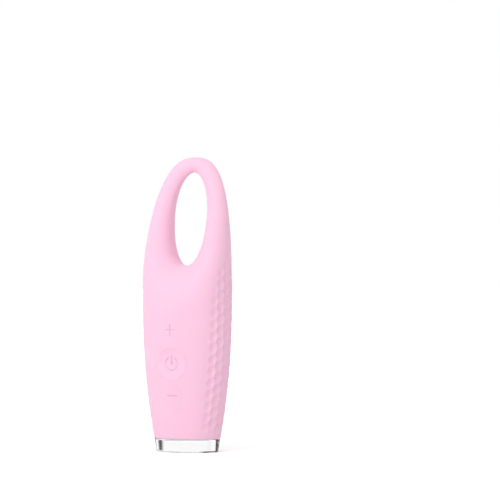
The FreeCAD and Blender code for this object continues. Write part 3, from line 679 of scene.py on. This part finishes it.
class GripTree(NodeWriter):
    """The node group that presses hexagon dimples into the skin along its normals."""

    def __init__(self) -> None:
        """Start the group with inputs for its sizes and its material."""
        super().__init__(bpy.data.node_groups.new("honeycomb_grip", "GeometryNodeTree"))
        face = self.tree.interface
        sizes = dict.fromkeys(("Pitch", "Depth", "Bowl"), "Float")
        for name, kind in {"Geometry": "Geometry", **sizes, "Material": "Material"}.items():
            face.new_socket(name, in_out="INPUT", socket_type=f"NodeSocket{kind}")
        face.new_socket("Geometry", in_out="OUTPUT", socket_type="NodeSocketGeometry")
        self.given = self.add("NodeGroupInput").outputs

    def attribute(self, name: str) -> Socket:
        """Read a float attribute of the skin."""
        values = {"data_type": "FLOAT", "Name": name}
        return self.add("GeometryNodeInputNamedAttribute", values).outputs["Attribute"]

    def folded(self, value: Socket, cell: Socket, shift: float) -> Socket:
        """Measure from the nearest cell centre along one axis.

        Args:
            value: Places along the axis.
            cell: Distance between centres.
            shift: Share of a cell that the centres are moved by.

        Returns:
            The distance socket.
        """
        work = self.math_node
        within = work("FLOORED_MODULO", work("MULTIPLY_ADD", cell, shift, value), cell)
        return work("ABSOLUTE", work("SUBTRACT", within, work("MULTIPLY", cell, 0.5)))

    def out_share(self, shift: float) -> Socket:
        """Measure the hexagon distance from one of the two sets of centres.

        Args:
            shift: Share of a cell that the set is moved by.

        Returns:
            A socket that is 1 on the edge of a hexagon.
        """
        pitch, work = self.given["Pitch"], self.math_node
        column = work("MULTIPLY", pitch, math.sqrt(3.0))
        across = self.folded(self.attribute("grip_u"), column, shift)
        up = self.folded(self.attribute("grip_v"), pitch, shift)
        level = work("MULTIPLY", across, math.cos(math.pi / 6.0))
        slant = work("ADD", level, work("MULTIPLY", up, 0.5))
        return work("DIVIDE", work("MAXIMUM", slant, up), work("MULTIPLY", pitch, 0.5))

    def build(self) -> bpy.types.NodeTree:
        """Write the dimples, and end in a real mesh with its material.

        Returns:
            The node group.
        """
        given, work = self.given, self.math_node
        near = work("MINIMUM", work("MINIMUM", self.out_share(0.0), self.out_share(0.5)), 1.0)
        bowl = work("SUBTRACT", 1.0, work("POWER", near, given["Bowl"]))
        share = work("MULTIPLY", bowl, self.attribute("grip_share"))
        sink = work("MULTIPLY", share, given["Depth"])
        normal = self.add("GeometryNodeInputNormal").outputs["Normal"]
        inwards = {"Vector": normal, "Scale": work("MULTIPLY", sink, -1.0)}
        offset = self.add("ShaderNodeVectorMath", {"operation": "SCALE"}, inwards)
        mesh = given["Geometry"]
        for kind, links in (
            ("GeometryNodeSetPosition", {"Offset": offset.outputs["Vector"]}),
            ("GeometryNodeRealizeInstances", {}),
            ("GeometryNodeSetMaterial", {"Material": given["Material"]}),
        ):
            mesh = self.add(kind, links={"Geometry": mesh, **links}).outputs["Geometry"]
        self.add("NodeGroupOutput", links={"Geometry": mesh})
        return self.tree


@dataclass(frozen=True)
class HoneycombGrip:
    """Shallow hexagon dimples on both flanks, set into the skin by Geometry Nodes."""

    pitch: float = 5.3
    squeeze: float = 0.77
    depth: float = 0.82
    bowl: float = 2.0
    panel_angle: float = math.radians(42.0)
    panel_low: float = 20.0
    panel_high: float = 91.0
    panel_powers: Pair = (2.6, 1.9)
    edge_fade: Pair = (-2.0, 3.0)
    foot_fade: Pair = (0.8, 7.0)
    inner_fade: Pair = (0.86, 0.96)
    arc_steps: int = 8

    def place(self, form: BodyForm, p: Array) -> dict[str, Array]:
        """Give each skin point its place on the flank panel.

        Args:
            form: Body under the skin.
            p: Points in millimetres.

        Returns:
            Squeezed arc length from the side line, height, and the share of the relief.
        """
        z = p[:, 2]
        width, depth, back = form.sections(z)
        angle = np.arctan2((p[:, 1] - back) / depth, np.abs(p[:, 0]) / width)
        part = angle[:, None] * ((np.arange(self.arc_steps) + 0.5) / self.arc_steps)
        pace = np.sqrt((width[:, None] * np.sin(part)) ** 2 + (depth[:, None] * np.cos(part)) ** 2)
        pace = pace.mean(1)
        rise = np.clip((z - self.panel_low) / (self.panel_high - self.panel_low), 0.0, 1.0)
        narrow, close = self.panel_powers
        limit = self.panel_angle * np.clip(1.0 - rise**narrow, 0.0, 1.0) ** (1.0 / close)
        mask = smooth_step(*self.edge_fade, (limit - np.abs(angle)) * pace)
        mask *= smooth_step(*self.foot_fade, z - form.base) * (z < self.panel_high)
        mask *= smooth_step(*self.inner_fade, form.radius(p, z))
        half_column = math.sqrt(3.0) / 4.0 * self.pitch
        along = angle * pace / self.squeeze + half_column
        return {"grip_u": along * MM, "grip_v": z * MM, "grip_share": mask}

    def press(self, skin: Piece, form: BodyForm, material: Material) -> None:
        """Press the dimples into the skin's mesh.

        Args:
            skin: Skin object, changed in place.
            form: Body under the skin.
            material: Finish of the skin.
        """
        mesh = skin.data
        points = np.zeros(len(mesh.vertices) * 3)
        mesh.vertices.foreach_get("co", points)
        places = self.place(form, points.reshape(-1, 3) / MM)
        for name, values in places.items():
            mesh.attributes.new(name, "FLOAT", "POINT").data.foreach_set("value", values)
        modifier = skin.modifiers.new("grip", "NODES")
        modifier.node_group = GripTree().build()
        inputs = {"Pitch": self.pitch * MM, "Depth": self.depth * MM, "Bowl": self.bowl,
                  "Material": material}
        for item in modifier.node_group.interface.items_tree:
            if item.in_out == "INPUT" and item.name in inputs:
                modifier[item.identifier] = inputs[item.name]
        ready = skin.evaluated_get(bpy.context.evaluated_depsgraph_get())
        skin.data = bpy.data.meshes.new_from_object(ready)
        skin.modifiers.clear()
        for name in places:
            skin.data.attributes.remove(skin.data.attributes[name])
        skin.data.name = skin.name


@dataclass
class LoopSkin:
    """The moulded skin: a round-rimmed loop on a flared body, with its hem and holes."""

    form: BodyForm
    finishes: dict[str, Material]
    button_holes: list[Hole]
    grip: HoneycombGrip = field(default_factory=HoneycombGrip)
    cell: float = 0.98
    hem: float = 0.45
    hem_depth: float = 1.9
    hem_rise: float = 1.6
    hem_turns: tuple[float, ...] = (22.5, 45.0, 67.5, 90.0)
    hem_touch: float = 1e-3
    socket_radius: float = 2.5
    socket_depth: float = 1.8

    def turn_under(self, bm: bmesh.types.BMesh) -> None:
        """Trim the skin at the foot and fold its edge under and back up inside.

        Args:
            bm: Skin, in millimetres.
        """
        form = self.form
        level = form.base + self.hem
        whole = bm.verts[:] + bm.edges[:] + bm.faces[:]
        bmesh.ops.bisect_plane(bm, geom=whole, dist=TINY, plane_co=(0.0, 0.0, level),
                               plane_no=(0.0, 0.0, 1.0), clear_inner=True)
        border = [edge for edge in bm.edges
                  if edge.is_boundary and abs(edge.verts[0].co.z - level) < self.hem_touch]
        folds = [(self.hem * (1.0 - math.sin(a)), self.hem * (1.0 - math.cos(a)))
                 for a in np.radians(self.hem_turns)]
        folds += [(0.0, self.hem_depth), (self.hem_rise, self.hem_depth)]
        width, depth, _ = (float(size[0]) for size in form.sections(np.array([level])))
        for rise, inset in folds:
            extruded = bmesh.ops.extrude_edge_only(bm, edges=border)["geom"]
            border = [item for item in extruded if isinstance(item, bmesh.types.BMEdge)]
            oval = form.sections(np.array([form.base + rise]))
            new_width, new_depth = (float(size[0]) - inset for size in oval[:2])
            for vert in (item for item in extruded if isinstance(item, bmesh.types.BMVert)):
                vert.co.x *= new_width / width
                vert.co.y *= new_depth / depth
                vert.co.z = form.base + rise
            width, depth = new_width, new_depth

    def build(self) -> Piece:
        """Make the skin and set it for its CAD node.

        Returns:
            The skin object.
        """
        material = self.finishes["pink_silicone"]
        points, quads = NetMesher(self.form, self.cell).mesh()
        skin = finish_mesh("massager_skin", points, quads.tolist(), material)
        bm = bmesh.new()
        bm.from_mesh(skin.data)
        bmesh.ops.scale(bm, vec=(1.0 / MM,) * 3, verts=bm.verts[:])
        self.turn_under(bm)
        low, high = (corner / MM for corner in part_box("charging_socket"))
        middle = (0.0, (low.z + high.z) / 2.0)
        socket = Hole(middle, self.socket_radius, Side.BACK, self.socket_depth)
        for hole in (*self.button_holes, socket):
            hole.cut(bm, self.form, self.cell / 2.0)
        bmesh.ops.recalc_face_normals(bm, faces=bm.faces[:])
        bmesh.ops.scale(bm, vec=(MM,) * 3, verts=bm.verts[:])
        for face in bm.faces:
            face.smooth = True
        bm.to_mesh(skin.data)
        bm.free()
        self.grip.press(skin, self.form, material)
        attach(skin, "housing")
        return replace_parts(skin, "silicone_skin")


class Symbol(Enum):
    """The sign on a button."""

    PLUS = "plus"
    POWER = "power"
    MINUS = "minus"


@dataclass(frozen=True)
class Mark:
    """The lines of a sign, engraved with soft edges."""

    symbol: Symbol
    half: float = 2.35
    ring_radius: float = 3.1
    ring_opening: float = math.radians(34.0)
    stroke_half: float = 1.8
    line: float = 0.26
    soft: float = 0.16
    depth: float = 0.3

    def gap(self, x: Array, z: Array) -> Array:
        """Measure how far points are from the lines.

        Args:
            x: Places across from the middle.
            z: Places up from the middle.

        Returns:
            Distances from the nearest line.
        """
        if self.symbol is Symbol.POWER:
            turn = np.abs(np.arctan2(x, z))
            arc = np.abs(np.hypot(x, z) - self.ring_radius)
            end = np.hypot(np.abs(x) - self.ring_radius * math.sin(self.ring_opening),
                           z - self.ring_radius * math.cos(self.ring_opening))
            ring = np.where(turn > self.ring_opening, arc, end)
            over = np.maximum(np.abs(z - self.stroke_half) - self.stroke_half, 0.0)
            return np.minimum(ring, np.hypot(x, over))
        level = np.hypot(np.maximum(np.abs(x) - self.half, 0.0), z)
        if self.symbol is Symbol.MINUS:
            return level
        return np.minimum(level, np.hypot(x, np.maximum(np.abs(z) - self.half, 0.0)))

    def share(self, x: Array, z: Array) -> Array:
        """Give how far points are within the lines, from 0 to 1."""
        return 1.0 - smooth_step(self.line - self.soft, self.line + self.soft, self.gap(x, z))


@dataclass
class ButtonCap:
    """A soft button cap, flush with the skin, with its mark engraved and its dish pressed in."""

    symbol: Symbol
    form: BodyForm
    finishes: dict[str, Material]
    steps: int = 96
    dish_depth: float = 0.0
    dish_edge: float = 0.5
    dish_bend: Pair = (2.5, 0.9)
    gap: float = 0.012
    hole_depth: float = 1.4

    def __post_init__(self) -> None:
        """Read the place and radius of the CAD cap."""
        low, high = (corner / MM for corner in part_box(f"{self.symbol.value}_button_cap"))
        self.height = (low.z + high.z) / 2.0
        self.radius = (high.x - low.x) / 2.0
        self.back = high.y

    def hole(self) -> Hole:
        """Give the hole that the cap sits in, with a hair of room round it."""
        return Hole((0.0, self.height), self.radius + self.gap, Side.FRONT, self.hole_depth)

    def front(self) -> tuple[Array, Array]:
        """Lay a square grid of points over the round front.

        Returns:
            Points, and how far each is within the mark, which sets both its engraving and its painted
            shade.
        """
        side = np.linspace(-1.0, 1.0, self.steps + 1)
        a, b = np.meshgrid(side, side, indexing="ij")
        x = (self.radius * a * np.sqrt(1.0 - b * b / 2.0)).ravel()
        z = (self.radius * b * np.sqrt(1.0 - a * a / 2.0)).ravel()
        away = np.hypot(x, z)
        out = np.minimum(away / (self.radius - self.dish_edge), 1.0)
        bend = self.dish_bend[0] + self.dish_bend[1] * z / np.maximum(away, TINY)
        shaded_mark = Mark(self.symbol)
        share = shaded_mark.share(x, z)
        y = self.form.face(x, z + self.height, Side.FRONT)
        y = y + self.dish_depth * (1.0 - out**bend) + share * shaded_mark.depth
        return np.stack([x, y, z + self.height], 1), share

    def build(self) -> Piece:
        """Make the cap and set it for its CAD node.

        Returns:
            The cap object.
        """
        points, share = self.front()
        grid = np.arange(len(points)).reshape(self.steps + 1, self.steps + 1)
        quads = np.stack([grid[:-1, :-1], grid[1:, :-1], grid[1:, 1:], grid[:-1, 1:]], -1)
        rim = [*grid[:, 0], *grid[-1, 1:], *grid[-2::-1, -1], *grid[0, -2:0:-1]]
        back = points[rim].copy()
        back[:, 1] = self.back
        count, start = len(rim), len(points)
        faces = quads.reshape(-1, 4).tolist()
        faces += [[rim[j], rim[i], start + i, start + j] for i, j in neighbours(count)]
        faces.append([start + i for i in reversed(range(count))])
        cap = finish_mesh(f"{self.symbol.value}_cap", np.concatenate([points, back]), faces,
                          self.finishes["button_silicone"])
        # How far each point is within the engraved strokes, which sets their painted shade.
        values = np.concatenate([share, np.zeros(count)])
        cap.data.attributes.new("shaded_mark", "FLOAT", "POINT").data.foreach_set("value", values)
        rim_pairs = {frozenset((rim[i], rim[j])) for i, j in neighbours(count)}
        for edge in cap.data.edges:
            on_rim = frozenset(edge.vertices) in rim_pairs
            edge.use_edge_sharp = on_rim or min(edge.vertices) >= start
        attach(cap, f"{self.symbol.value}_button")
        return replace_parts(cap, f"{self.symbol.value}_button_cap")


@dataclass
class ClearFoot:
    """The clear foot: a polished, tapered oval cup, and the ring above it that plugs in."""

    form: BodyForm
    finishes: dict[str, Material]
    taper: float = 1.0
    inset: float = 0.05
    edge: float = 0.3
    hold: float = 0.08
    plug_inset: float = 3.8
    plug_wall: float = 2.0
    seam: float = 0.02
    hollow_inset: float = 3.9
    hollow_low: float = 0.7
    sharp: float = math.radians(50.0)
    count: int = 128

    def walls(self, rings: int, start: int, joined: bool) -> list[list[int]]:
        """Join ovals that follow each other into a closed surface.

        Args:
            rings: How many ovals there are.
            start: Number of the first point.
            joined: Whether the last oval meets the first, instead of both being filled.

        Returns:
            Corner numbers of the faces.
        """
        n, last = self.count, rings - 1
        faces = []
        for level in range(rings if joined else last):
            low, high = start + level * n, start + (level + 1) % rings * n
            faces += [[low + i, low + j, high + j, high + i] for i, j in neighbours(n)]
        if not joined:
            faces.append([start + i for i in reversed(range(n))])
            faces.append([start + last * n + i for i in range(n)])
        return faces

    def build(self) -> Piece:
        """Make the foot and set it for its CAD node.

        Returns:
            The foot object.
        """
        base, top = self.form.base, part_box("clear_base")[1].z / MM
        bend = self.edge * (1.0 - math.sqrt(0.5))
        lean = self.hold * self.taper / base
        cup = [
            (0.0, self.taper + self.edge),
            (bend, self.taper + bend),
            (self.edge, self.taper),
            (self.edge + self.hold, self.taper - lean),
            (base - self.edge - self.hold, self.inset + lean),
            (base - self.edge, self.inset),
            (base - bend, self.inset + bend),
            (base, self.inset + self.edge),
            (base, self.hollow_inset),
            (self.hollow_low, self.hollow_inset),
        ]
        bottom, inner = base + self.seam, self.plug_inset + self.plug_wall
        plug = [(bottom, inner), (bottom, self.plug_inset), (top, self.plug_inset), (top, inner)]
        z, inset = np.repeat(cup + plug, self.count, axis=0).T
        turn = np.tile(full_turn(self.count), len(cup + plug))
        wide, deep = self.form.foot_width - inset, self.form.foot_depth - inset
        points = np.stack([wide * np.cos(turn), deep * np.sin(turn), z], 1)
        faces = self.walls(len(cup), 0, False)
        faces += self.walls(len(plug), len(cup) * self.count, True)
        foot = finish_mesh("clear_foot", points, faces, self.finishes["clear_plastic"])
        foot.data.set_sharp_from_angle(angle=self.sharp)
        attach(foot, "housing")
        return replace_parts(foot, "clear_base")


@dataclass
class InnerWorks:
    """The CAD nodes that keep their own mesh."""

    finishes: dict[str, Material]
    nodes: dict[str, Piece]
    subparts: list[dict[str, object]]

    def dress(self) -> list[Piece]:
        """Give each shown node the finish of its slot.

        Returns:
            The dressed nodes.
        """
        slots = {part["node"]: part["material_slot"] for part in self.subparts}
        shown = {name: node for name, node in self.nodes.items() if not node.hide_render}
        for name, node in shown.items():
            node.data.materials.clear()
            node.data.materials.append(self.finishes[slots[name]])
        return list(shown.values())


@dataclass(frozen=True)
class Studio:
    """White floor and soft light, with the camera where the photo was taken from."""

    turn: float = math.radians(30.0)
    distance: float = 1200.0
    height: float = 92.3
    beside: float = 28.8
    pixels_per_mm: float = 2.178
    pixels: float = 500.0
    view_end: float = 20000.0
    ambient: float = 0.76
    key_place: Place = (-200.0, -1250.0, 950.0)
    key_aim: Place = (0.0, 0.0, 70.0)
    key_size: float = 900.0
    key_power: float = 9.2
    floor_half: float = 4000.0
    floor_drop: float = 0.05
    floor_greys: tuple[Colour, Colour] = ((0.86, 0.86, 0.86), (0.88, 0.88, 0.88))
    floor_grain: float = 40.0
    glow_reach: Pair = (120.0, 500.0)
    glow: Pair = (0.36, 1.0)
    card_turns: Pair = (100.0, 50.0)
    card_reach: float = 600.0
    card_height: float = 260.0
    card_steps: int = 12
    card_dark: float = 0.55

    def background(self) -> None:
        """Light the room evenly, and show it as white."""
        world = bpy.data.worlds.new("room")
        bpy.context.scene.world = world
        world.use_nodes = True
        writer = NodeWriter(world.node_tree)
        level = writer.spread(writer.seen_rays(), self.ambient, 1.0)
        back = writer.tree.nodes["Background"].inputs
        back["Color"].default_value = (*WHITE, 1.0)
        writer.tree.links.new(level, back["Strength"])

    def floor(self) -> None:
        """Lay a wide white floor that still takes the shadow."""
        half, low = self.floor_half, -self.floor_drop
        corners = np.array([(-half, -half, low), (half, -half, low),
                            (half, half, low), (-half, half, low)])
        shader = Shader("floor")
        paper = shader.grain(Grain.CLOUD, self.floor_grain)
        shader.wire("Base Color", shader.ramp(paper, *self.floor_greys))
        shader.fix({"Roughness": 0.9, "Specular IOR Level": 0.0, "Emission Color": (*WHITE, 1.0)})
        away = shader.add("ShaderNodeVectorMath", {"operation": "LENGTH"}, {"Vector": shader.place})
        near, far = (reach * MM for reach in self.glow_reach)
        glow = shader.spread(away.outputs["Value"], *self.glow, near, far)
        shader.wire("Emission Strength", shader.math_node("MULTIPLY", shader.seen_rays(), glow))
        finish_mesh("floor", corners, [[0, 1, 2, 3]], shader.material)

    def lamp(self) -> None:
        """Hang a soft square lamp that points at the massager."""
        light = bpy.data.lights.new("key", "AREA")
        light.size = self.key_size * MM
        light.energy = self.key_power
        lamp = bpy.data.objects.new("key", light)
        bpy.context.scene.collection.objects.link(lamp)
        lamp.location = Vector(self.key_place) * MM
        aim = Vector(self.key_aim) * MM - lamp.location
        lamp.rotation_euler = aim.to_track_quat("-Z", "Y").to_euler()

    def card(self) -> None:
        """Stand a dark card at the left that only the clear foot shows, and fade it to white: a
        painted reflection that puts dark refraction bands into the foot.
        """
        count = self.card_steps
        turn = np.radians(np.linspace(*self.card_turns, count + 1))
        foot = np.stack([-np.sin(turn), np.cos(turn), np.zeros(count + 1)], 1) * self.card_reach
        points = np.concatenate([foot, foot + (0.0, 0.0, self.card_height)])
        faces = [[i, i + 1, count + 2 + i, count + 1 + i] for i in range(count)]
        shader = Shader("left_card")
        share = shader.add("ShaderNodeAttribute", {"attribute_name": "share"}).outputs["Fac"]
        fade = shader.spread(share, 0.0, 1.0, self.card_dark)
        shader.wire("Emission Color", shader.ramp(fade, BLACK, WHITE))
        shader.fix({"Base Color": (*BLACK, 1.0), "Specular IOR Level": 0.0,
                    "Emission Strength": 1.0})
        card = finish_mesh("left_card", points, faces, shader.material)
        shares = np.tile(np.linspace(0.0, 1.0, count + 1), 2)
        card.data.attributes.new("share", "FLOAT", "POINT").data.foreach_set("value", shares)
        # Hidden from all rays but transmission, so the card shows only as the foot's painted
        # reflection.
        for kind in ("camera", "diffuse", "glossy", "shadow", "volume_scatter"):
            setattr(card, f"visible_{kind}", False)

    def camera(self) -> None:
        """Place the camera level, as in the photo."""
        right = Vector((math.cos(self.turn), math.sin(self.turn), 0.0))
        look = Vector((-math.sin(self.turn), math.cos(self.turn), 0.0))
        up = Vector((0.0, 0.0, self.height))
        data = bpy.data.cameras.new("photo_camera")
        data.angle = 2.0 * math.atan(self.pixels / 2.0 / self.pixels_per_mm / self.distance)
        data.clip_end = self.view_end * MM
        camera = bpy.data.objects.new("photo_camera", data)
        bpy.context.scene.collection.objects.link(camera)
        camera.location = (right * self.beside - look * self.distance + up) * MM
        camera.rotation_euler = look.to_track_quat("-Z", "Y").to_euler()
        bpy.context.scene.camera = camera

    def build(self) -> None:
        """Set up the whole studio."""
        self.background()
        self.floor()
        self.lamp()
        self.card()
        self.camera()
        bpy.context.scene.view_settings.view_transform = "Standard"


def main() -> None:
    """Build the dressed massager and its studio, and report each piece."""
    logging.basicConfig(level=logging.INFO, format="%(message)s")
    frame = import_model()
    finishes = {finish.name: finish.dress(Shader(finish.name)) for finish in FINISHES}
    form = BodyForm.from_frame()
    caps = [
        ButtonCap(Symbol.PLUS, form, finishes),
        ButtonCap(Symbol.POWER, form, finishes, steps=128, dish_depth=0.95),
        ButtonCap(Symbol.MINUS, form, finishes),
    ]
    skin = LoopSkin(form, finishes, [cap.hole() for cap in caps])
    pieces = [assembly.build() for assembly in (skin, *caps, ClearFoot(form, finishes))]
    pieces += InnerWorks(finishes, frame["nodes"], frame["record"]["subparts"]).dress()
    for piece in pieces:
        LOG.info("%s: %d faces", piece.name, len(piece.data.polygons))
    Studio().build()


if __name__ == "__main__":
    main()
